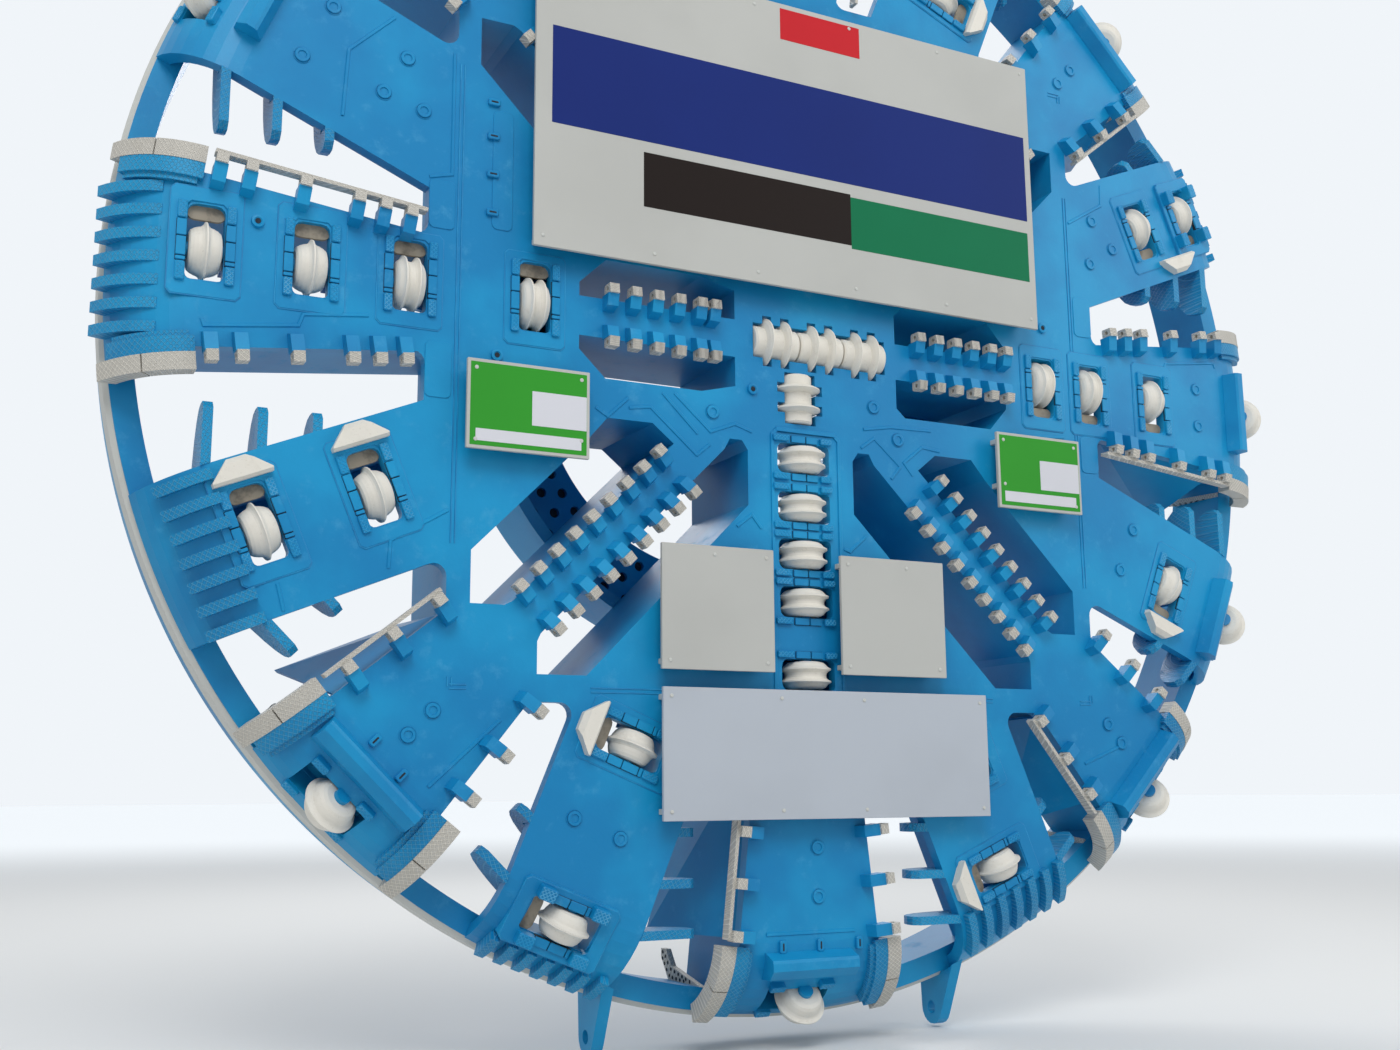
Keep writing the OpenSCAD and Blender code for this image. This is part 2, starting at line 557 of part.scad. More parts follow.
module cutter_01() color(tool_white) cutter_at(0);
module cutter_02() color(tool_white) cutter_at(1);
module cutter_03() color(tool_white) cutter_at(2);
module cutter_04() color(tool_white) cutter_at(3);
module cutter_05() color(tool_white) cutter_at(4);
module cutter_06() color(tool_white) cutter_at(5);
module cutter_07() color(tool_white) cutter_at(6);
module cutter_08() color(tool_white) cutter_at(7);
module cutter_09() color(tool_white) cutter_at(8);
module cutter_10() color(tool_white) cutter_at(9);
module cutter_11() color(tool_white) cutter_at(10);
module cutter_12() color(tool_white) cutter_at(11);
module cutter_13() color(tool_white) cutter_at(12);
module cutter_14() color(tool_white) cutter_at(13);
module cutter_15() color(tool_white) cutter_at(14);
module cutter_16() color(tool_white) cutter_at(15);
module cutter_17() color(tool_white) cutter_at(16);
module cutter_18() color(tool_white) cutter_at(17);
module cutter_19() color(tool_white) cutter_at(18);
module cutter_20() color(tool_white) cutter_at(19);
module cutter_21() color(tool_white) cutter_at(20);
module cutter_22() color(tool_white) cutter_at(21);
module cutter_23() color(tool_white) cutter_at(22);
module cutter_24() color(tool_white) cutter_at(23);
module cutter_25() color(tool_white) cutter_at(24);
module cutter_26() color(tool_white) cutter_at(25);
module cutter_27() color(tool_white) cutter_at(26);
module cutter_28() color(tool_white) cutter_at(27);
module cutter_29() color(tool_white) cutter_at(28);
module cutter_30() color(tool_white) cutter_at(29);
module cutter_31() color(tool_white) cutter_at(30);
module cutter_32() color(tool_white) cutter_at(31);
module cutter_33() color(tool_white) cutter_at(32);
module cutter_34() color(tool_white) cutter_at(33);
module cutter_35() color(tool_white) cutter_at(34);
module cutter_36() color(tool_white) cutter_at(35);
module cutter_37() color(tool_white) cutter_at(36);
module cutter_38() color(tool_white) cutter_at(37);
module cutter_39() color(tool_white) cutter_at(38);
module cutter_40() color(tool_white) cutter_at(39);
module cutter_41() color(tool_white) cutter_at(40);
module cutter_42() color(tool_white) cutter_at(41);
module cutter_43() color(tool_white) cutter_at(42);
module cutter_44() color(tool_white) cutter_at(43);

centre_block();
outer_left();
outer_right();
outer_top();
outer_bottom();
rim_ring();
wear_band();
drive_hub();
scraper_blocks();
scraper_tips();
bucket_lips();
bucket_chutes();
deflector_wedges();
guard_bars();
wear_ribs();
lifting_lugs();
cutter_01();
cutter_02();
cutter_03();
cutter_04();
cutter_05();
cutter_06();
cutter_07();
cutter_08();
cutter_09();
cutter_10();
cutter_11();
cutter_12();
cutter_13();
cutter_14();
cutter_15();
cutter_16();
cutter_17();
cutter_18();
cutter_19();
cutter_20();
cutter_21();
cutter_22();
cutter_23();
cutter_24();
cutter_25();
cutter_26();
cutter_27();
cutter_28();
cutter_29();
cutter_30();
cutter_31();
cutter_32();
cutter_33();
cutter_34();
cutter_35();
cutter_36();
cutter_37();
cutter_38();
cutter_39();
cutter_40();
cutter_41();
cutter_42();
cutter_43();
cutter_44();
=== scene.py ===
"""Finish of a tunnel cutterhead: paint, blank boards and small fittings, in metres."""
import json
import math

import bmesh
import bpy
from mathutils import Matrix, Vector


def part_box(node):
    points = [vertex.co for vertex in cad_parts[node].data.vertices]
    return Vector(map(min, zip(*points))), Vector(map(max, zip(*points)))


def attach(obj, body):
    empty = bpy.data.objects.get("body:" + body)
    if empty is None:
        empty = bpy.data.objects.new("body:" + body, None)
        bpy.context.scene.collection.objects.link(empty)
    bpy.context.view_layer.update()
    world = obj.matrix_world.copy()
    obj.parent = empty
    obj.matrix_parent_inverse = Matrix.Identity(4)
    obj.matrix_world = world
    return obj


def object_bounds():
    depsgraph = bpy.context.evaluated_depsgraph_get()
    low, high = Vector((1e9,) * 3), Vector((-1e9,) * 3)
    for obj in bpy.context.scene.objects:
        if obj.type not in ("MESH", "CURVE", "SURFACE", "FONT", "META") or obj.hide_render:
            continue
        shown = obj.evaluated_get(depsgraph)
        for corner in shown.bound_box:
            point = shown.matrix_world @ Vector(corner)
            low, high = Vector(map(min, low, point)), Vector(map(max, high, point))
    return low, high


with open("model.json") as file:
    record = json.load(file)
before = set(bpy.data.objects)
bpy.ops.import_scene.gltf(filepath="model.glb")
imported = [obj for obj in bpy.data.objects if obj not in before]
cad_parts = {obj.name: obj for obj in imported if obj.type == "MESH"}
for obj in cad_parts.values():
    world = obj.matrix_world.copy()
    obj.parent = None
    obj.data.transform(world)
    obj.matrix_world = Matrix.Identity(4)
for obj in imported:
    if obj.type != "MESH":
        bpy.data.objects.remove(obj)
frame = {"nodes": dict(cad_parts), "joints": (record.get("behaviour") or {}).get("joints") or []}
cad_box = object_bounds()

# Sizes of the head, read from the frame where it holds them
FACE_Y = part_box("centre_block")[0].y
HEAD_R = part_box("wear_band")[1].x
ARC_R = 0.62
FLAT_R = HEAD_R - ARC_R
BLOCK_X, BLOCK_Z = 3.06, 3.0

# Foot of a fitting below the surface that it stands on, flat or curved, and the bevel of a plate's edge
SUNK = -0.004
SUNK_DEEP = -0.09
BEVEL = 0.003


# Shader maths: a socket that takes part in Python expressions
class Sock:
    def __init__(self, maker, socket):
        self.maker = maker
        self.socket = socket

    def __add__(self, other):
        return self.maker.math("ADD", self, other)

    __radd__ = __add__

    def __mul__(self, other):
        return self.maker.math("MULTIPLY", self, other)

    def __sub__(self, other):
        return self.maker.math("SUBTRACT", self, other)

    def __rsub__(self, other):
        return self.maker.math("SUBTRACT", other, self)

    def above(self, edge, soft):
        """0 below edge, 1 above edge + soft, a ramp between."""
        return self.maker.node("ShaderNodeMapRange", {"interpolation_type": "SMOOTHSTEP"},
                               self, edge, edge + soft, 0.0, 1.0)

    def wave(self, period):
        """0 to 1 triangle wave of the given period."""
        return self.maker.math("PINGPONG", self, period / 2) * (2 / period)


class Finish:
    """A node material; node() makes any node from its type, settings and inputs."""

    def __init__(self, name):
        self.material = bpy.data.materials.new(name)
        self.material.use_nodes = True
        self.tree = self.material.node_tree
        self.tree.nodes.clear()
        self.shader = self.tree.nodes.new("ShaderNodeBsdfPrincipled")
        output = self.tree.nodes.new("ShaderNodeOutputMaterial")
        self.tree.links.new(self.shader.outputs[0], output.inputs[0])

    def node(self, kind, settings, *inputs, out=0, **named):
        made = self.tree.nodes.new(kind)
        for key, value in settings.items():
            setattr(made, key, value)
        for place, value in (*enumerate(inputs), *named.items()):
            self._feed(made.inputs[place], value)
        return Sock(self, made.outputs[out])

    def math(self, operation, *inputs):
        return self.node("ShaderNodeMath", {"operation": operation}, *inputs)

    def _feed(self, socket, value):
        if isinstance(value, Sock):
            self.tree.links.new(value.socket, socket)
        elif value is not None:
            if socket.type == "RGBA" and len(value) == 3:
                value = (*value, 1.0)
            socket.default_value = value

    def set(self, **values):
        for name, value in values.items():
            self._feed(self.shader.inputs[name.replace("_", " ")], value)

    def place(self):
        return self.node("ShaderNodeTexCoord", {}, out=3)

    def axes(self):
        split = self.tree.nodes.new("ShaderNodeSeparateXYZ")
        self._feed(split.inputs[0], self.place())
        return [Sock(self, split.outputs[i]) for i in range(3)]

    def noise(self, scale, detail, rough=0.5):
        """Clouds of noise, scale to a metre."""
        return self.node("ShaderNodeTexNoise", {}, Vector=self.place(), Scale=scale, Detail=detail,
                         Roughness=rough)

    def mix(self, factor, a, b):
        """Colour a where factor is 0, b where it is 1."""
        made = self.tree.nodes.new("ShaderNodeMix")
        made.data_type = "RGBA"
        for index, value in ((0, factor), (6, a), (7, b)):
            self._feed(made.inputs[index], value)
        return Sock(self, made.outputs[2])

    def bump(self, height, distance, strength=1.0, under=None):
        """Normal of bumps up to distance high, in metres, over another layer's normal."""
        return self.node("ShaderNodeBump", {}, Strength=strength, Distance=distance,
                         Height=height, Normal=under)


def srgb(red, green, blue):
    """Linear colour of an 8-bit display colour."""
    return tuple((c / 12.92 if c <= 0.04045 else ((c + 0.055) / 1.055) ** 2.4)
                 for c in (red / 255, green / 255, blue / 255))


BLUE = srgb(18, 148, 200)
BLUE_DEEP = srgb(10, 126, 182)
BLUE_DUSTY = srgb(84, 168, 210)
CREAM = srgb(226, 221, 210)
CREAM_DIRT = srgb(178, 168, 150)
HATCH_FIELD = srgb(168, 164, 156)
BAND = srgb(196, 197, 192)
STEEL = srgb(150, 140, 124)
STEEL_STAIN = srgb(110, 102, 90)
# Painted shade: near-black colours for the dark sheets and discs set in gaps and holes, where there is only
# shade; darker and lighter at random
PAINTED_SHADE_DEEP = (0.004, 0.010, 0.020)
PAINTED_SHADE_PALE = (0.012, 0.022, 0.036)

# Share of the radius in a pattern's length, so that it also runs on over the flat walls
RADIAL_SHARE = 0.35
# Height of the pattern's wave at which a bead begins, and how softly
BEAD_FROM, BEAD_SOFT = 0.72, 0.2


def gauge_coordinates(finish):
    """Length along the gauge curve and length round the head, for patterns that follow the rim."""
    x, y, z = finish.axes()
    radius = finish.math("SQRT", x * x + z * z)
    depth = y - FACE_Y
    turn = finish.math("ARCTAN2", radius - FLAT_R, ARC_R - depth)
    around = finish.math("ARCTAN2", z, x) * HEAD_R
    return turn * ARC_R + radius * RADIAL_SHARE, around


def hatch(finish, pitch):
    """Crossed weld beads: 0 in the fields, 1 on the beads."""
    along, around = gauge_coordinates(finish)
    one = (along + around).wave(pitch).above(BEAD_FROM, BEAD_SOFT)
    two = (along - around).wave(pitch).above(BEAD_FROM, BEAD_SOFT)
    return finish.math("MAXIMUM", one, two)


def paint_blue(name, hatched=False):
    finish = Finish(name)
    clouds = finish.noise(0.9, 4.0)
    grain = finish.noise(38.0, 2.0)
    dust = finish.noise(5.5, 6.0, 0.7).above(0.55, 0.2)
    color = finish.mix(clouds.above(0.35, 0.3), BLUE_DEEP, BLUE)
    color = finish.mix(dust * 0.35, color, BLUE_DUSTY)
    lumps = finish.bump(grain, 0.0012, 0.6)
    if hatched:
        beads = hatch(finish, 0.05)
        color = finish.mix(beads * 0.65, color, BLUE_DUSTY)
        lumps = finish.bump(beads, 0.006, 1.0, under=lumps)
    finish.set(Base_Color=color, Roughness=0.42 + dust * 0.25, Normal=lumps)
    finish.set(Coat_Weight=0.05, Coat_Roughness=0.3, Specular_IOR_Level=0.28)
    return finish.material


def weld_blue(name, low=BLUE_DEEP, high=BLUE):
    finish = Finish(name)
    ripple = finish.noise(90.0, 2.0)
    color = finish.mix(finish.noise(4.0, 3.0).above(0.4, 0.3), low, high)
    finish.set(Base_Color=color, Roughness=0.5, Normal=finish.bump(ripple, 0.003, 0.8))
    return finish.material


# Painted shade: a near-black finish for the sheets and discs that stand in for the shade in gaps and holes
def painted_shade_dark(name):
    finish = Finish(name)
    color = finish.mix(finish.noise(30.0, 3.0).above(0.45, 0.2), PAINTED_SHADE_DEEP, PAINTED_SHADE_PALE)
    finish.set(Base_Color=color, Roughness=0.8, Normal=finish.bump(finish.noise(60.0, 2.0), 0.001, 0.4))
    return finish.material


def liner_steel(name):
    finish = Finish(name)
    stain = finish.noise(9.0, 5.0, 0.6).above(0.45, 0.25)
    color = finish.mix(stain, STEEL, STEEL_STAIN)
    lumps = finish.bump(finish.noise(50.0, 3.0), 0.0015, 0.6)
    finish.set(Base_Color=color, Roughness=0.6, Metallic=0.2, Normal=lumps)
    return finish.material


def paint_cream(name, hatched=False):
    finish = Finish(name)
    dirt = finish.noise(7.0, 6.0, 0.65).above(0.52, 0.25)
    specks = finish.noise(60.0, 2.0).above(0.66, 0.05)
    color = finish.mix(dirt * 0.3, CREAM, CREAM_DIRT)
    color = finish.mix(specks * 0.25, color, CREAM_DIRT)
    lumps = finish.bump(finish.noise(45.0, 2.0), 0.001, 0.5)
    if hatched:
        beads = hatch(finish, 0.045)
        color = finish.mix((1.0 - beads) * 0.7, color, HATCH_FIELD)
        lumps = finish.bump(beads, 0.005, 1.0, under=lumps)
    finish.set(Base_Color=color, Roughness=0.55 + dirt * 0.2, Normal=lumps)
    return finish.material


def paint_band(name):
    finish = Finish(name)
    dirt = finish.noise(3.0, 6.0, 0.7).above(0.5, 0.3)
    color = finish.mix(dirt * 0.4, BAND, CREAM_DIRT)
    finish.set(Base_Color=color, Roughness=0.6, Normal=finish.bump(finish.noise(30.0, 3.0), 0.0015, 0.6))
    return finish.material


def plain_sheet(name, color):
    finish = Finish(name)
    shade = tuple(c * 0.86 for c in color)
    spread = finish.noise(0.8, 3.0).above(0.4, 0.3) * 0.4
    waver = finish.bump(finish.noise(1.6, 2.0), 0.004, 0.35)
    finish.set(Base_Color=finish.mix(spread, color, shade), Roughness=0.55, Normal=waver)
    finish.set(Specular_IOR_Level=0.15)
    return finish.material


MATERIALS = {
    "blue": paint_blue("blue_paint"),
    "blue_hatched": paint_blue("blue_hatched_paint", True),
    "cream": paint_cream("cream_paint"),
    "cream_hatched": paint_cream("cream_hatched_paint", True),
    "band": paint_band("band_paint"),
    "board_white": plain_sheet("board_white", srgb(188, 188, 183)),
    "board_grey": plain_sheet("board_grey", srgb(184, 190, 198)),
    "board_navy": plain_sheet("board_navy", srgb(18, 40, 112)),
    "board_green": plain_sheet("board_green", srgb(6, 112, 72)),
    "board_lime": plain_sheet("board_lime", srgb(52, 150, 46)),
    "board_red": plain_sheet("board_red", srgb(196, 36, 44)),
    "board_black": plain_sheet("board_black", srgb(26, 16, 12)),
    "board_pale": plain_sheet("board_pale", srgb(214, 214, 220)),
    "blue_weld": weld_blue("blue_weld_bead"),
    "blue_bead": weld_blue("blue_hatch_bead", BLUE, BLUE_DUSTY),
    "painted_shade": painted_shade_dark("painted_shade_dark"),
    "liner": liner_steel("liner_steel"),
}

NODE_FINISH = {"wear_band": "band", "scraper_tips": "cream_hatched", "deflector_wedges": "cream",
               "bucket_lips": "cream_hatched", "wear_ribs": "blue_hatched"}


def finish_nodes():
    for name, node in frame["nodes"].items():
        look = "cream" if name.startswith("cutter") else NODE_FINISH.get(name, "blue")
        node.data.materials.clear()
        node.data.materials.append(MATERIALS[look])


# Flat outlines, counter-clockwise
def rounded(u0, u1, v0, v1, r, steps=3):
    """A rectangle with round corners, each of the given number of steps."""
    centres = ((u1 - r, v0 + r, -90), (u1 - r, v1 - r, 0), (u0 + r, v1 - r, 90), (u0 + r, v0 + r, 180))
    points = []
    for cu, cv, start in centres:
        for i in range(steps + 1):
            turn = math.radians(start + 90 * i / steps)
            points.append((cu + r * math.cos(turn), cv + r * math.sin(turn)))
    return points


def chamfered(u0, u1, v0, v1, c):
    return rounded(u0, u1, v0, v1, c, 1)


def left_of(a, b):
    du, dv = b[0] - a[0], b[1] - a[1]
    length = math.hypot(du, dv)
    return (-dv / length, du / length)


def shifted(points, d, closed=True):
    """The same path moved to its left by d, with mitred corners."""
    count = len(points)
    moved = []
    for i, (u, v) in enumerate(points):
        before = left_of(points[i - 1], (u, v)) if closed or i > 0 else None
        after = left_of((u, v), points[(i + 1) % count]) if closed or i < count - 1 else None
        before = before or after
        after = after or before
        scale = d / (1 + before[0] * after[0] + before[1] * after[1])
        moved.append((u + (before[0] + after[0]) * scale, v + (before[1] + after[1]) * scale))
    return moved


def level(points, height):
    return [(u, v, height) for u, v in points]


# Flat part of a bead's width, and the beads of a hatched pad
BEAD_FLAT = 0.26
HATCH_PITCH, HATCH_WIDTH, HATCH_SHORTEST = 0.024, 0.008, 0.02


class Shape:
    """Gathers the plates, turned parts and beads of one piece."""

    def __init__(self):
        self.mesh = bmesh.new()

    def loft(self, loops, place, closed=False):
        """Skins loops of points; closed joins the last to the first, otherwise both ends are capped."""
        rings = [[self.mesh.verts.new(place @ Vector(point)) for point in loop] for loop in loops]
        pairs = list(zip(rings, rings[1:]))
        if closed:
            pairs.append((rings[-1], rings[0]))
        for low, high in pairs:
            for i in range(len(low)):
                self.mesh.faces.new((low[i - 1], low[i], high[i], high[i - 1]))
        if not closed:
            self.mesh.faces.new(rings[0][::-1])
            self.mesh.faces.new(rings[-1])

    def plate(self, outline, low, high, place, edge=BEVEL):
        top = level(shifted(outline, edge), high)
        self.loft([level(outline, low), level(outline, high - edge), top], place)

    def ring(self, outer, inner, low, high, place):
        outside = [level(outer, low), level(outer, high - BEVEL), level(shifted(outer, BEVEL), high)]
        inside = [level(shifted(inner, -BEVEL), high), level(inner, high - BEVEL), level(inner, low)]
        self.loft(outside + inside, place, True)

    def turned(self, profile, place, steps=20):
        """Turns a profile of radii and heights."""
        circle = [(math.cos(math.tau * i / steps), math.sin(math.tau * i / steps)) for i in range(steps)]
        self.loft([[(r * c, r * s, h) for c, s in circle] for r, h in profile], place)

    def bead(self, points, width, height, place, closed=False, low=SUNK):
        rows = [level(shifted(points, side * width, closed), tall)
                for side, tall in ((-0.5, low), (-BEAD_FLAT, height), (BEAD_FLAT, height), (0.5, low))]
        self.loft(list(zip(*rows)), place, closed)

    def hatch(self, u0, u1, v0, v1, height, place):
        """Crossed weld beads over a rectangle."""
        slack = 1e-6
        for slope in (1, -1):
            first = math.ceil((v0 - u1 if slope > 0 else v0 + u0) / HATCH_PITCH) * HATCH_PITCH
            last = v1 - u0 if slope > 0 else v1 + u1
            while first < last:
                ends = [(u, first + slope * u) for u in (u0, u1)]
                ends += [((v - first) * slope, v) for v in (v0, v1)]
                ends = sorted({(round(u, 5), round(v, 5)) for u, v in ends
                               if u0 - slack <= u <= u1 + slack and v0 - slack <= v <= v1 + slack})
                if len(ends) > 1 and math.dist(ends[0], ends[-1]) > HATCH_SHORTEST:
                    self.bead([ends[0], ends[-1]], HATCH_WIDTH, height + 0.003, place, low=height - 0.002)
                first += HATCH_PITCH * math.sqrt(2)

    def finish(self, name, material):
        """Makes the piece, which rides on the head."""
        bmesh.ops.recalc_face_normals(self.mesh, faces=self.mesh.faces)
        data = bpy.data.meshes.new(name)
        self.mesh.to_mesh(data)
        self.mesh.free()
        piece = bpy.data.objects.new(name, data)
        bpy.context.scene.collection.objects.link(piece)
        data.materials.append(MATERIALS[material])
        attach(piece, "head")


# Places: local axes along the radius, across it and out of the surface
def place_from(along, across, out, origin):
    turn = Matrix((along, across, out)).transposed().to_4x4()
    return Matrix.Translation(origin) @ turn


def across_spoke(turn):
    return Vector((-math.sin(turn), 0, math.cos(turn)))


def on_face(x=0.0, z=0.0, angle=0.0):
    turn = math.radians(angle)
    along = Vector((math.cos(turn), 0, math.sin(turn)))
    return place_from(along, across_spoke(turn), (0, -1, 0), (x, FACE_Y, z))


# Radii within which a cutter belongs to the centre and to the column
CENTRE_R, COLUMN_R = 0.9, 2.9
# Tilts in degrees past which a cutter has left the flat face and stands at the gauge
FLAT_TILT, GAUGE_TILT = 1, 40
# Spokes seen from their own axis: half width, the radius from which they widen, and by how much per metre
SPOKE_WIDENING = 0.11
MAIN_HALF, MAIN_FROM, MAIN_LEAST = 0.48, 3.4, 0.47
DIAGONAL_HALF, DIAGONAL_FROM = 0.47, 3.9
BETWEEN_NARROW, BETWEEN_WIDE = 0.48, 0.70
SPOKE_EDGE = 0.02


class Cutter:
    """Where a disc cutter sits: spoke angle, radius, side step, tilt and the surface above its axis."""

    def __init__(self, joint):
        axis, at = Vector(joint["axis"]), Vector(joint["pos_m"])
        turn = math.atan2(axis.z, axis.x)
        self.angle = math.degrees(turn) % 360
        self.tilt = math.degrees(math.asin(axis.y))
        self.u = at.x * math.cos(turn) + at.z * math.sin(turn)
        self.v = -at.x * math.sin(turn) + at.z * math.cos(turn)
        across = across_spoke(turn)
        out = axis.cross(across)
        self.place = place_from(axis, across, out, at + out * self.over(at.y - FACE_Y))
        self.foot = SUNK_DEEP if self.tilt > FLAT_TILT else SUNK
        self.kind = self.find_kind()

    def over(self, depth):
        """From the cutter's axis out to the surface, which is flat or the gauge curve."""
        if self.tilt < FLAT_TILT:
            return depth
        side = (self.u - FLAT_R, depth - ARC_R)
        tilt = math.radians(self.tilt)
        lean = side[0] * math.sin(tilt) - side[1] * math.cos(tilt)
        return math.sqrt(lean ** 2 - side[0] ** 2 - side[1] ** 2 + ARC_R ** 2) - lean

    def find_kind(self):
        upright = round(self.angle) in (90, 270)
        if self.u < CENTRE_R and (upright or round(self.angle) % 360 == 0):
            return "centre"
        if self.u < COLUMN_R and upright:
            return "column"
        if self.tilt > GAUGE_TILT:
            return "gauge"
        return "shoulder" if self.tilt > FLAT_TILT else "flat"

    def edges(self):
        """Room across the spoke on each side of the cutter."""
        turn = round(self.angle * 10) % 900
        if turn == 0:
            low = high = max(MAIN_HALF + SPOKE_WIDENING * (self.u - MAIN_FROM), MAIN_LEAST)
        elif turn == 450:
            low = high = DIAGONAL_HALF + SPOKE_WIDENING * (self.u - DIAGONAL_FROM)
        elif turn < 450:
            low, high = BETWEEN_NARROW, BETWEEN_WIDE
        else:
            low, high = BETWEEN_WIDE, BETWEEN_NARROW
        return -low - self.v + SPOKE_EDGE, high - self.v - SPOKE_EDGE


CUTTERS = [Cutter(joint) for joint in frame["joints"]]
FACE_CUTTERS = [c for c in CUTTERS if c.kind in ("flat", "shoulder")]
COLUMN_CUTTERS = [c for c in CUTTERS if c.kind == "column"]

# The plates round a slot: outer half width and ends, inner half width and ends, corners and height
FRAME_HALF, FRAME_LOW, FRAME_HIGH = 0.252, -0.45, 0.36
SLOT_HALF, SLOT_LOW, SLOT_HIGH = 0.14, -0.345, 0.25
FRAME_CORNER, FRAME_TOP = 0.03, 0.010
FRAME_WELD_WIDTH, FRAME_WELD_TOP = 0.014, 0.006


# Raised plates round the slots, with their weld beads
def make_slot_frames():
    plates, welds = Shape(), Shape()
    inner = chamfered(-SLOT_HALF, SLOT_HALF, SLOT_LOW, SLOT_HIGH, FRAME_CORNER)
    for c in FACE_CUTTERS:
        low, high = c.edges()
        outer = chamfered(-FRAME_HALF, FRAME_HALF, max(FRAME_LOW, low), min(FRAME_HIGH, high), FRAME_CORNER)
        plates.ring(outer, inner, c.foot, FRAME_TOP, c.place)
        welds.bead(shifted(outer, -BEVEL), FRAME_WELD_WIDTH, FRAME_WELD_TOP, c.place, True, c.foot)
    plates.finish("slot_frames", "blue")
    welds.finish("slot_frame_welds", "blue_weld")


# Hatched pads at the corners of the slots: height and outer edge by the kind of cutter, and their rows
PAD_INNER, PAD_MARGIN, PAD_CORNER, PAD_BEVEL = 0.138, 0.006, 0.010, 0.005
PAD_SIZES = {
    "flat": (0.034, 0.204),
    "column": (0.034, 0.194),
    "shoulder": (0.09, 0.235),
    "gauge": (0.012, 0.204),
}
PAD_ROWS = ((-0.335, -0.20), (0.125, 0.262))
COLUMN_PAD_ROWS = ((-0.325, -0.17), (0.14, 0.25))


def make_slot_pads():
    pads, beads = Shape(), Shape()
    for c in CUTTERS:
        if c.kind == "centre":
            continue
        tall, outer = PAD_SIZES[c.kind]
        for side in (-1, 1):
            u0, u1 = sorted((side * PAD_INNER, side * outer))
            for v0, v1 in COLUMN_PAD_ROWS if c.kind == "column" else PAD_ROWS:
                pads.plate(chamfered(u0, u1, v0, v1, PAD_CORNER), c.foot, tall, c.place, PAD_BEVEL)
                beads.hatch(u0 + PAD_MARGIN, u1 - PAD_MARGIN, v0 + PAD_MARGIN, v1 - PAD_MARGIN, tall, c.place)
    pads.finish("slot_pads", "blue")
    beads.finish("slot_pad_beads", "blue_bead")


# Lock blocks beside the cutters, over a dark sheet that paints the shade in the gaps between them: their
# spans along the slot and their outer edge
LOCK_INNER = 0.137
LOCKS = ((-0.19, -0.069), (-0.06, 0.079), (0.088, 0.115))
LOCK_OUTER = 0.204
COLUMN_LOCKS = ((-0.14, -0.005), (0.006, 0.115))
COLUMN_LOCK_OUTER = 0.194
COLUMN_TOP = 0.001
# Heights of the painted shade sheet and the blocks over the surface, the blocks' foot and how far the sheet
# reaches past them
SHADE_SHEET_TOP, LOCK_TOP, LOCK_FOOT = 0.002, 0.018, 0.0005
SHADE_SHEET_SIDE, SHADE_SHEET_END = 0.003, 0.004


def make_slot_locks():
    locks, shade_sheets = Shape(), Shape()
    for c in FACE_CUTTERS + COLUMN_CUTTERS:
        spans, outer, base = LOCKS, LOCK_OUTER, FRAME_TOP
        if c.kind == "column":
            spans, outer, base = COLUMN_LOCKS, COLUMN_LOCK_OUTER, COLUMN_TOP
        for side in (-1, 1):
            u0, u1 = sorted((side * LOCK_INNER, side * outer))
            start, end = spans[0][0] - SHADE_SHEET_END, spans[-1][1] + SHADE_SHEET_END
            # The dark sheet under the blocks is painted shade for the gaps between them
            painted_shade = rounded(u0 - SHADE_SHEET_SIDE, u1 + SHADE_SHEET_SIDE, start, end, 0.006)
            shade_sheets.plate(painted_shade, c.foot, base + SHADE_SHEET_TOP, c.place, 0.001)
            for v0, v1 in spans:
                locks.plate(chamfered(u0, u1, v0, v1, 0.005), base + LOCK_FOOT, base + LOCK_TOP, c.place)
    locks.finish("slot_locks", "blue")
    shade_sheets.finish("slot_lock_painted_shade", "painted_shade")


# Liners in the long ends of the slots: outline, corners, and bottom and top below the surface
LINER, LINER_CORNER = (-0.136, 0.136, -0.342, -0.226), 0.05
LINER_LOW, LINER_HIGH = -0.075, -0.050


def make_liners():
    liners = Shape()
    for c in FACE_CUTTERS:
        liners.plate(rounded(*LINER, LINER_CORNER), LINER_LOW, LINER_HIGH, c.place)
    liners.finish("slot_liners", "liner")


# Column of twin cutters, raised rim and the bars across its ends: angle, start and both sides
COLUMN_ENDS = ((270, 0.74, -0.27, 0.36), (90, 1.03, -0.36, 0.30))
COLUMN_END = 3.06
RIM, RIM_TOP = 0.03, 0.012
BAR_INSET, BAR_TOP, BAR_BEVEL = 0.02, 0.018, 0.004


def make_column_frames():
    rims, bars = Shape(), Shape()
    for angle, start, low, high in COLUMN_ENDS:
        place = on_face(angle=angle)
        outer = chamfered(start, COLUMN_END, low - RIM, high + RIM, 0.05)
        inner = chamfered(start + RIM, COLUMN_END - RIM, low, high, 0.04)
        rims.ring(outer, inner, SUNK, RIM_TOP, place)
        bar = rounded(start - 0.01, start + RIM, low + BAR_INSET, high - BAR_INSET, 0.006)
        bars.plate(bar, SUNK, BAR_TOP, place, BAR_BEVEL)
    rims.finish("column_rims", "blue")
    bars.finish("column_bars", "blue")


# Plugs and nozzles of the face, as x and z
PLUGS = [(-3.18, -3.18), (-3.36, -3.36), (-2.06, -3.97), (-1.68, -4.13), (0.08, -4.23), (0.08, -4.62),
         (3.70, -1.33), (3.51, -1.73), (4.65, 0.18), (4.65, -0.20), (3.40, 1.75), (3.65, 1.50),
         (3.35, 1.30), (3.23, 3.32), (3.06, 3.14), (-4.32, 1.72), (-3.69, 1.56), (-3.51, 1.88),
         (-3.37, 1.47), (-4.10, 2.17), (-0.85, -0.67), (0.75, -0.45), (1.00, -0.72), (3.25, -3.19),
         (3.40, -3.36), (2.06, 3.97), (1.68, 4.13), (0.08, 4.23), (0.08, 4.62), (-3.18, 3.18), (-3.36, 3.36)]
NOZZLES = [(-2.74, -0.43), (-0.47, -0.43), (-4.585, 0.345), (2.70, 0.55)]
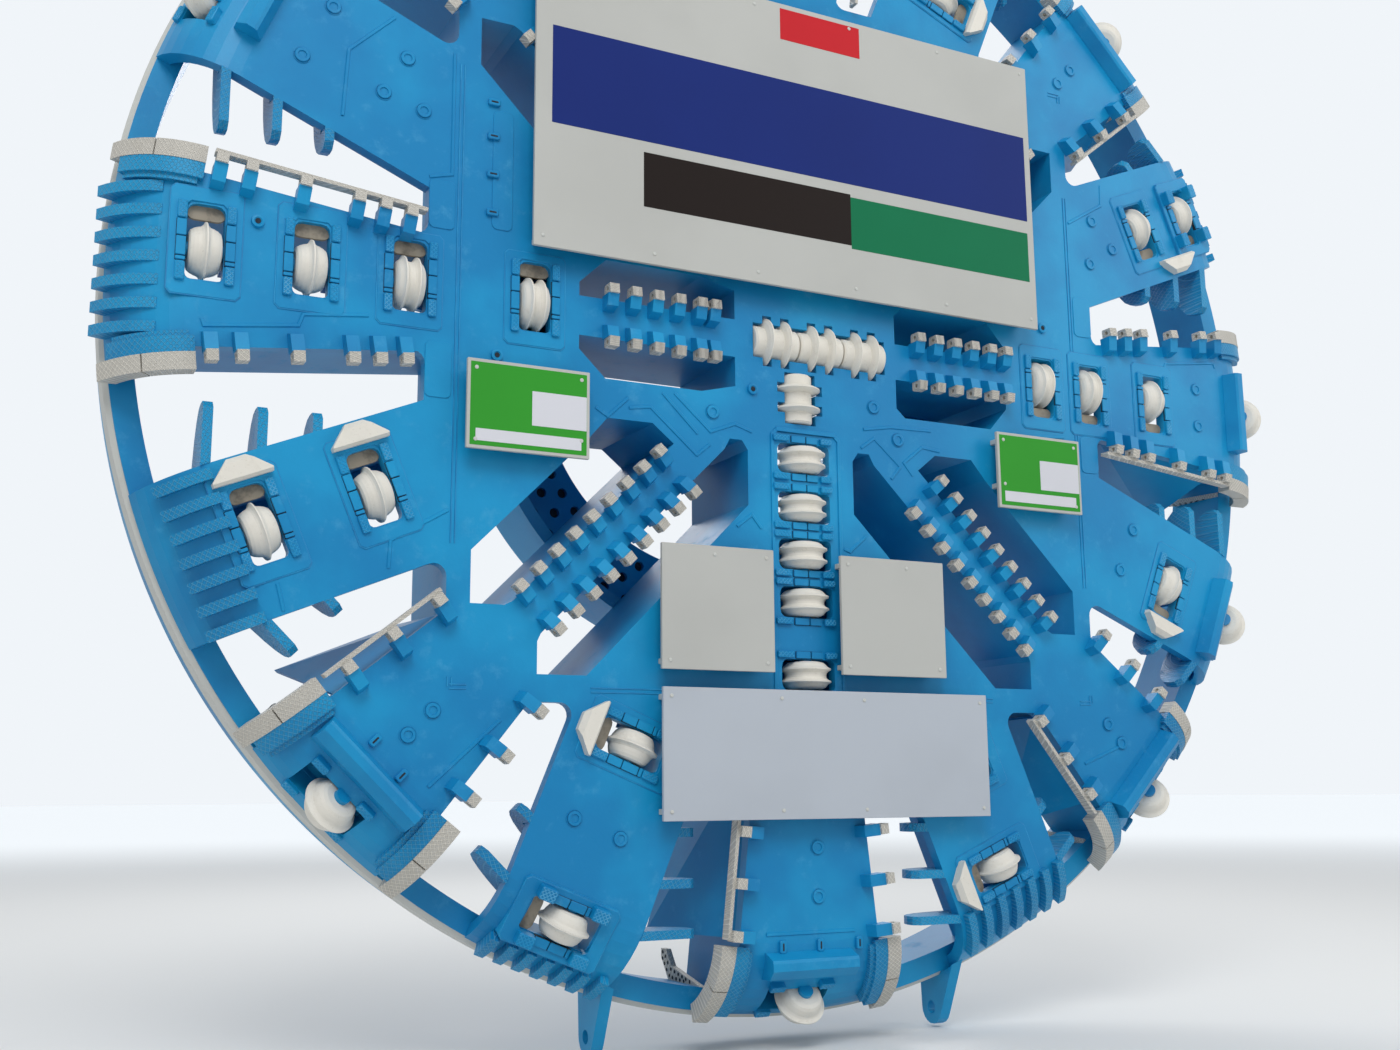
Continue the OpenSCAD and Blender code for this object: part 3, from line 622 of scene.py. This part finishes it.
# Tabs of the face, as x, z and angle
TABS = [(-2.80, 1.66, 0), (-2.80, 1.37, 0), (-2.80, 1.05, 0), (-2.80, 0.73, 0),
        (-0.27, -5.0, 90), (0.08, -5.0, 90), (0.45, -5.0, 90), (-3.6, -3.4, 45), (-3.4, -3.65, 45),
        (-0.27, 5.0, 90), (0.08, 5.0, 90), (0.45, 5.0, 90)]
# Raised lines of the face, by their corners
LINES = [[(-4.96, 0.47), (-4.75, 0.48), (-4.70, 0.44)],
         [(-4.94, -0.44), (-4.92, -0.49), (-4.26, -0.40), (-4.23, -0.31), (-3.75, -0.25)],
         [(-3.62, 2.2), (-3.97, 1.85), (-4.0, 1.3)],
         [(-3.54, -2.15), (-3.53, -1.94), (-3.10, -1.68)],
         [(-4.33, -2.31), (-4.28, -2.5)],
         [(-3.2, -3.73), (-2.66, -3.24)],
         [(-1.9, -0.75), (-1.80, -0.81), (-1.62, -0.64)],
         [(-1.61, -0.72), (-1.42, -0.69), (-1.0, -1.05), (-0.88, -0.95)],
         [(-1.31, -0.56), (-0.99, -0.87)],
         [(-1.20, -0.55), (-0.87, -0.84), (-0.64, -0.75), (-0.48, -0.80)],
         [(-0.63, -1.62), (-0.49, -1.51), (-0.40, -1.62)],
         [(0.41, -1.74), (0.47, -1.76), (0.63, -1.62)],
         [(0.61, -0.83), (0.75, -0.73), (1.02, -0.96), (0.92, -1.08)],
         [(1.15, -1.03), (1.06, -0.92), (1.26, -0.76), (1.45, -0.78)],
         [(0.64, -0.66), (0.93, -0.61), (1.36, -0.60)],
         [(-3.31, 0.94), (-3.13, 0.99), (-3.13, 2.01)],
         [(-2.9, -0.55), (-2.2, -0.60), (-2.12, -0.85)], [(2.9, -0.50), (2.4, -0.55), (2.3, -0.85)],
         [(2.95, -3.55), (3.46, -3.36)],
         [(-0.41, -4.90), (0.42, -4.90)], [(-0.41, 4.90), (0.42, 4.90)],
         [(4.94, 0.44), (4.92, 0.49), (4.26, 0.40), (4.23, 0.31)],
         [(3.54, 2.15), (3.53, 1.94), (3.10, 1.68)]]
# Raised panels of the face, as x0, x1, z0 and z1
PANELS = [(-3.31, -3.10, 0.53, 0.93), (-3.31, -3.10, -0.82, -0.38), (3.10, 3.31, 0.53, 0.93),
          (3.10, 3.31, -0.82, -0.46), (-2.80, -2.63, 0.60, 1.60)]

# Radii and heights of the turned fittings
PLUG_PROFILE = [(0.057, SUNK), (0.057, 0.013), (0.053, 0.017), (0.034, 0.017), (0.030, 0.008), (0.004, 0.008)]
NOZZLE_PROFILE = [(0.050, SUNK), (0.046, 0.024), (0.030, 0.026), (0.022, 0.018), (0.003, 0.018)]
# A dark disc in the nozzle's bore, painted shade of the hole
NOZZLE_HOLE_SHADE = [(0.021, 0.010), (0.021, 0.0195), (0.003, 0.0195)]
# Weld round a plug: radius, width and height
PLUG_WELD, PLUG_WELD_WIDTH, PLUG_WELD_TOP = 0.064, 0.010, 0.005
# Outline of a tab and of a dark plate in it that paints the shade of its slot, and their heights
TAB, TAB_TOP = (-0.05, 0.05, -0.028, 0.028), 0.030
TAB_SLOT_SHADE, TAB_SLOT_SHADE_TOP = (-0.030, 0.030, -0.007, 0.007), 0.0315
# Heights of panels and lines, which differ so that no two tops lie in one plane
PANEL_CORNER, PANEL_TOP = 0.045, 0.0078
LINE_WIDTH, LINE_TOP = 0.036, 0.0088


def make_face_fittings():
    # The dark discs in the nozzles and the dark plates in the tabs are painted shade of their holes and slots
    plugs, hole_shade, tabs, lines = Shape(), Shape(), Shape(), Shape()
    for x, z in PLUGS:
        plugs.turned(PLUG_PROFILE, on_face(x, z))
        weld = rounded(-PLUG_WELD, PLUG_WELD, -PLUG_WELD, PLUG_WELD, PLUG_WELD - 0.0005, 6)
        lines.bead(weld, PLUG_WELD_WIDTH, PLUG_WELD_TOP, on_face(x, z), True)
    for x, z in NOZZLES:
        plugs.turned(NOZZLE_PROFILE, on_face(x, z))
        hole_shade.turned(NOZZLE_HOLE_SHADE, on_face(x, z))
    for x, z, angle in TABS:
        place = on_face(x, z, angle)
        tabs.plate(chamfered(*TAB, 0.010), SUNK, TAB_TOP, place, 0.006)
        hole_shade.plate(rounded(*TAB_SLOT_SHADE, 0.006), 0.02, TAB_SLOT_SHADE_TOP, place, 0.0005)
    for x0, x1, z0, z1 in PANELS:
        tabs.plate(rounded(x0, x1, z0, z1, PANEL_CORNER), SUNK, PANEL_TOP, on_face())
    for line in LINES:
        lines.bead(line, LINE_WIDTH, LINE_TOP, on_face())
    plugs.finish("face_plugs", "blue")
    hole_shade.finish("face_hole_shade", "painted_shade")
    tabs.finish("face_tabs", "blue")
    lines.finish("face_beads", "blue")


# Double weld seams between the centre block and the outer blocks
SEAM_PAIR, SEAM_WIDTH = 0.016, 0.013
SEAM_TOP_Z, SEAM_TOP_X = 0.0068, 0.0064
SEAM_SPANS_Z = ((-BLOCK_Z, -2.93), (-1.93, 1.93), (2.93, BLOCK_Z))
SEAM_SPANS_X = ((-BLOCK_X, -2.93), (-1.93, -0.34), (0.34, 1.93), (2.93, BLOCK_X))


def make_seams():
    seams = Shape()
    for side in (-1, 1):
        for shift in (-SEAM_PAIR, SEAM_PAIR):
            x = side * (BLOCK_X + shift)
            for z0, z1 in SEAM_SPANS_Z:
                seams.bead([(x, z0), (x, z1)], SEAM_WIDTH, SEAM_TOP_Z, on_face())
            z = side * (BLOCK_Z + shift)
            for x0, x1 in SEAM_SPANS_X:
                seams.bead([(x0, z), (x1, z)], SEAM_WIDTH, SEAM_TOP_X, on_face())
    seams.finish("block_seams", "blue_weld")


# Dark discs that paint the shade of the bolt holes in the plates inside the ring, as radius and depth behind
# the face
BOLT_HOLES = [(5.300, 0.62), (5.287, 0.69), (5.274, 0.76), (5.262, 0.83), (5.248, 0.90), (5.234, 0.97),
              (5.188, 1.03), (5.140, 1.075), (5.108, 1.125), (5.306, 0.73), (5.304, 0.80), (5.302, 0.87),
              (5.298, 0.94), (5.288, 1.0), (5.246, 1.05), (5.200, 1.09), (5.160, 1.13)]
BOLT_HOLE_SHADE = [(0.015, -0.003), (0.015, 0.002), (0.013, 0.003), (0.002, 0.003)]
# Half width of the square and the diagonal spokes there, and from that to the plate's surface
SQUARE_EDGE, DIAGONAL_EDGE, PLATE_OUT = 0.6538, 0.5888, 0.130


def make_lip_bolt_hole_shade():
    hole_shade = Shape()
    for angle in range(0, 360, 45):
        edge = SQUARE_EDGE if angle % 90 == 0 else DIAGONAL_EDGE
        turn = math.radians(angle)
        along = Vector((math.cos(turn), 0, math.sin(turn)))
        across = across_spoke(turn)
        for u, depth in BOLT_HOLES:
            at = along * u - across * (edge + PLATE_OUT) + Vector((0, FACE_Y + depth, 0))
            hole_shade.turned(BOLT_HOLE_SHADE, place_from(along, Vector((0, -1, 0)), -across, at), 12)
    hole_shade.finish("lip_bolt_hole_shade", "painted_shade")


# Dark discs in the bolt holes of the drive flange, painted shade of the holes: rows, holes in a row, first
# radius and step
FLANGE_ROWS, FLANGE_HOLES, FLANGE_R, FLANGE_STEP = 3, 60, 1.9, 0.17
FLANGE_DEPTH = -0.055
FLANGE_HOLE_SHADE = [(0.0452, -0.02), (0.0452, 0.02)]


def make_flange_hole_shade():
    hole_shade = Shape()
    for row in range(FLANGE_ROWS):
        for i in range(FLANGE_HOLES):
            turn = math.tau * (i + row / 2) / FLANGE_HOLES
            reach = FLANGE_R + FLANGE_STEP * row
            at = Vector((reach * math.cos(turn), FLANGE_DEPTH, -reach * math.sin(turn)))
            place = place_from(Vector((1, 0, 0)), Vector((0, 0, 1)), Vector((0, -1, 0)), at)
            hole_shade.turned(FLANGE_HOLE_SHADE, place, 16)
    hole_shade.finish("flange_hole_shade", "painted_shade")


# Boards on the face: name, x0, x1, z0, z1, how far the front stands out, material
BOARD_T, BOARD_CORNER = 0.030, 0.006
BOARDS = [
    ("board_top", -2.517, 2.496, 0.456, 3.08, 0.19, "board_white"),
    ("board_low", -1.40, 1.71, -4.00, -2.97, 0.19, "board_grey"),
    ("board_square_left", -1.40, -0.385, -2.83, -1.83, 0.17, "board_white"),
    ("board_square_right", 0.265, 1.315, -2.83, -1.83, 0.17, "board_white"),
    ("board_green_left", -3.02, -2.02, -1.22, -0.52, 0.16, "board_white"),
    ("board_green_right", 1.98, 2.94, -1.27, -0.57, 0.16, "board_white"),
]
# Plain colour fields on the boards: name, x0, x1, z0, z1, the board's front, material and extra height
FIELDS = [
    ("field_navy", -2.375, 2.43, 1.51, 2.355, 0.19, "board_navy", 0.0),
    ("field_red", -0.242, 0.586, 2.74, 3.035, 0.19, "board_red", 0.0),
    ("field_black", -1.565, 0.447, 0.94, 1.415, 0.19, "board_black", 0.0),
    ("field_green", 0.447, 2.424, 0.91, 1.39, 0.19, "board_green", 0.0),
    ("field_green_left", -2.995, -2.045, -1.195, -0.545, 0.16, "board_lime", 0.0),
    ("field_green_right", 2.005, 2.915, -1.245, -0.595, 0.16, "board_lime", 0.0),
    ("stripe_left", -2.95, -2.09, -1.16, -1.065, 0.16, "board_pale", 0.002),
    ("stripe_right", 2.045, 2.87, -1.21, -1.115, 0.16, "board_pale", 0.002),
    ("panel_left", -2.50, -2.047, -1.0, -0.727, 0.16, "board_pale", 0.002),
    ("panel_right", 2.46, 2.912, -1.075, -0.80, 0.16, "board_pale", 0.002),
]
# A field reaches this far into its board and out of it
FIELD_T = 0.002


def make_boards():
    for name, x0, x1, z0, z1, out, material in BOARDS:
        board = Shape()
        board.plate(rounded(x0, x1, z0, z1, BOARD_CORNER), out - BOARD_T, out, on_face())
        board.finish(name, material)
    for name, x0, x1, z0, z1, out, material, lift in FIELDS:
        field = Shape()
        field.plate(rounded(x0, x1, z0, z1, 0.004), out - FIELD_T, out + FIELD_T + lift, on_face(), 0.001)
        field.finish(name, material)


# Spacers that carry the boards, and the screws that hold them, as x and z
POSTS = {
    "board_top": [(x, z) for x in (-2.44, -1.47, -0.50, 0.48, 1.45, 2.42) for z in (0.546, 3.01)],
    "board_low": [(x, z) for x in (-1.33, -0.34, 0.45, 1.64) for z in (-3.93, -3.04)],
    "board_square_left": [(-1.33, -2.76), (-0.455, -2.76), (-0.93, -1.90), (-0.455, -1.90)],
    "board_square_right": [(0.335, -2.76), (1.245, -2.76), (0.335, -1.90), (0.93, -1.90)],
    "board_green_left": [(-2.95, -1.15), (-2.09, -1.08), (-2.95, -0.59), (-2.09, -0.59)],
    "board_green_right": [(2.05, -1.05), (2.87, -1.20), (2.05, -0.64), (2.87, -0.64)],
}
POST_HALF = 0.022


def make_board_posts():
    posts, screws = Shape(), Shape()
    section = rounded(-POST_HALF, POST_HALF, -POST_HALF, POST_HALF, 0.006)
    for name, *_, out, _ in BOARDS:
        head = [(0.016, out - 0.002), (0.016, out + 0.004), (0.010, out + 0.008), (0.002, out + 0.008)]
        for x, z in POSTS[name]:
            posts.plate(section, SUNK, out - BOARD_T + 0.002, on_face(x, z))
            screws.turned(head, on_face(x, z), 12)
    posts.finish("board_posts", "band")
    screws.finish("board_screws", "band")


# Camera of the photograph: place from the middle of the face, yaw, pitch and roll in degrees, and lens
CAMERA_AT = (-6.3585, FACE_Y - 10.5439, -3.7862)
CAMERA_TURN = (-27.05, 10.30, -0.43)
LENS, SENSOR = 37.9, 36.0


def make_camera():
    camera = bpy.data.objects.new("camera", bpy.data.cameras.new("camera"))
    bpy.context.scene.collection.objects.link(camera)
    camera.data.lens = LENS
    camera.data.sensor_width = SENSOR
    yaw, pitch, roll = (math.radians(angle) for angle in CAMERA_TURN)
    forward = Vector((-math.sin(yaw) * math.cos(pitch), math.cos(yaw) * math.cos(pitch), math.sin(pitch)))
    right = Vector((math.cos(yaw), math.sin(yaw), 0.0))
    up = right.cross(forward)
    right, up = (right * math.cos(roll) + up * math.sin(roll), up * math.cos(roll) - right * math.sin(roll))
    turn = Matrix((right, up, -forward)).transposed().to_4x4()
    camera.matrix_world = Matrix.Translation(CAMERA_AT) @ turn
    bpy.context.scene.camera = camera


# Studio floor: gap below the head, half size, and where and how softly the far part begins to glow
FLOOR_GAP, FLOOR_HALF = 0.03, 400.0
GLOW_FROM, GLOW_SOFT = 14.0, 50.0
GLOW = (0.44, 0.47, 0.50)
FLOOR = (0.80, 0.80, 0.79)


def make_floor():
    finish = Finish("studio_floor")
    x, y, _ = finish.axes()
    far = finish.math("SQRT", x * x + y * y).above(GLOW_FROM, GLOW_SOFT)
    seen = finish.node("ShaderNodeLightPath", {})
    glow = finish.mix(far * seen, (0.0, 0.0, 0.0), GLOW)
    finish.set(Base_Color=FLOOR, Roughness=0.9, Emission_Color=glow, Emission_Strength=1.0)
    z = cad_box[0][2] - FLOOR_GAP
    corners = [(u * FLOOR_HALF, v * FLOOR_HALF, z) for u, v in ((-1, -1), (1, -1), (1, 1), (-1, 1))]
    mesh = bpy.data.meshes.new("studio_floor")
    mesh.from_pydata(corners, [], [(0, 1, 2, 3)])
    mesh.materials.append(finish.material)
    floor = bpy.data.objects.new("studio_floor", mesh)
    bpy.context.scene.collection.objects.link(floor)


# Sky: colour, and strength for what it lights and for what the camera and mirrors see of it
SKY = (0.92, 0.96, 1.0, 1.0)
SKY_LIGHT, SKY_SEEN = 0.55, 0.95


def make_world():
    world = bpy.data.worlds.new("studio")
    bpy.context.scene.world = world
    world.use_nodes = True
    tree = world.node_tree
    sky = tree.nodes["Background"]
    sky.inputs[0].default_value = SKY
    rays = tree.nodes.new("ShaderNodeLightPath")
    seen = rays.outputs["Is Camera Ray"]
    for kind in ("Is Glossy Ray", "Is Transmission Ray"):
        total = tree.nodes.new("ShaderNodeMath")
        tree.links.new(seen, total.inputs[0])
        tree.links.new(rays.outputs[kind], total.inputs[1])
        seen = total.outputs[0]
    strength = tree.nodes.new("ShaderNodeMapRange")
    strength.inputs["To Min"].default_value = SKY_LIGHT
    strength.inputs["To Max"].default_value = SKY_SEEN
    tree.links.new(seen, strength.inputs["Value"])
    tree.links.new(strength.outputs[0], sky.inputs[1])


# Lamps, which face the head: name, place, size and watts
LAMPS = (("key", (-10.0, -22.0, 20.0), 14.0, 4200.0),
         ("fill", (16.0, -14.0, 9.0), 12.0, 800.0),
         ("back", (6.0, 18.0, 14.0), 12.0, 2000.0))


def make_lamps():
    for name, place, size, watts in LAMPS:
        lamp = bpy.data.lights.new(name, "AREA")
        lamp.size = size
        lamp.energy = watts
        light = bpy.data.objects.new(name, lamp)
        light.location = place
        light.rotation_euler = (-Vector(place)).to_track_quat("-Z", "Y").to_euler()
        bpy.context.scene.collection.objects.link(light)


make_camera()
finish_nodes()
make_slot_frames()
make_slot_pads()
make_slot_locks()
make_liners()
make_column_frames()
make_face_fittings()
make_seams()
make_lip_bolt_hole_shade()
make_flange_hole_shade()
make_boards()
make_board_posts()
make_floor()
make_world()
make_lamps()
bpy.context.scene.view_settings.view_transform = "Standard"
